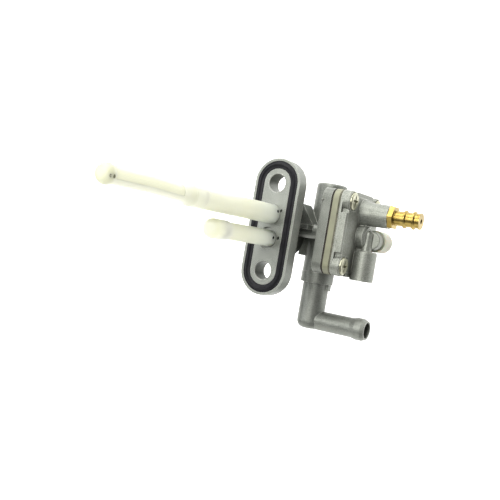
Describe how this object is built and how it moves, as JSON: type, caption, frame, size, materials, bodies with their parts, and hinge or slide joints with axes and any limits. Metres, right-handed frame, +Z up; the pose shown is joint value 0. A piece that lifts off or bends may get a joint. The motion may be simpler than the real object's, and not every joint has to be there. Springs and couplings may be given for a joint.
{
  "type": "fuel tap",
  "caption": "Vacuum operated fuel tap with a slot-shaped tank flange, two nylon standpipes, a selector lever and an angled outlet.",
  "frame": {"origin": "centre of the flange face that seals to the tank, midway between the two bolt holes", "axes": "+Z up into the tank along the standpipes, +X towards the vacuum nipple and the outlet's open end, +Y towards the barrel's closed end"},
  "size_m": [0.0658, 0.0655, 0.151],
  "materials": {
    "cast_body": "fine as-cast satin",
    "cast_cover": "fine as-cast satin",
    "black_rubber": "matt",
    "nylon": "natural nylon, slightly see-through",
    "mesh": "fine woven mesh",
    "diaphragm_rubber": "cloth-backed rubber edge",
    "spacer_plastic": "olive moulded",
    "plated_screws": "yellowish zinc plating",
    "brass": "bright turned",
    "cream_cap": "soft moulded",
    "steel": "plain",
    "acetal": "moulded",
    "plated_plate": "zinc-plated sheet",
    "lever_plastic": "fine moulded grain"
  },
  "bodies": {
    "body": {"valve_body": "cast_body", "outlet_elbow": "cast_body", "vacuum_cover": "cast_cover", "flange_seal": "black_rubber", "main_standpipe": "nylon", "reserve_standpipe": "nylon", "main_strainer_cage": "nylon", "reserve_strainer_cap": "nylon", "main_strainer_mesh": "mesh", "inner_diaphragm": "diaphragm_rubber", "outer_diaphragm": "diaphragm_rubber", "diaphragm_spacer": "spacer_plastic", "cover_screws": "plated_screws", "vacuum_nipple": "brass", "blanking_cap": "cream_cap", "return_spring": "steel", "selector_port_seal": "black_rubber", "selector_spring_washer": "steel", "selector_retainer": "plated_plate", "retainer_screws": "plated_screws"},
    "selector": {"selector_rotor": "acetal", "rotor_ring": "black_rubber", "selector_lever": "lever_plastic", "lever_screw": "plated_screws"},
    "plunger": {"valve_plunger": "steel", "plunger_seal": "black_rubber", "diaphragm_spool": "steel", "diaphragm_support_disc": "steel"}
  },
  "joints": [
    {"name": "selector_turn", "type": "hinge", "parent": "body", "child": "selector", "pos_m": [-0.0105, 0.0012, -0.0175], "axis": [1, 0, 0], "range_deg": [-90, 90]},
    {"name": "plunger_lift", "type": "slide", "parent": "body", "child": "plunger", "axis": [1, 0, 0], "range_m": [0, 0.0015], "stiffness_N_per_m": 500, "springref_m": -0.001, "deforming": ["return_spring", "inner_diaphragm", "outer_diaphragm"]}
  ]
}
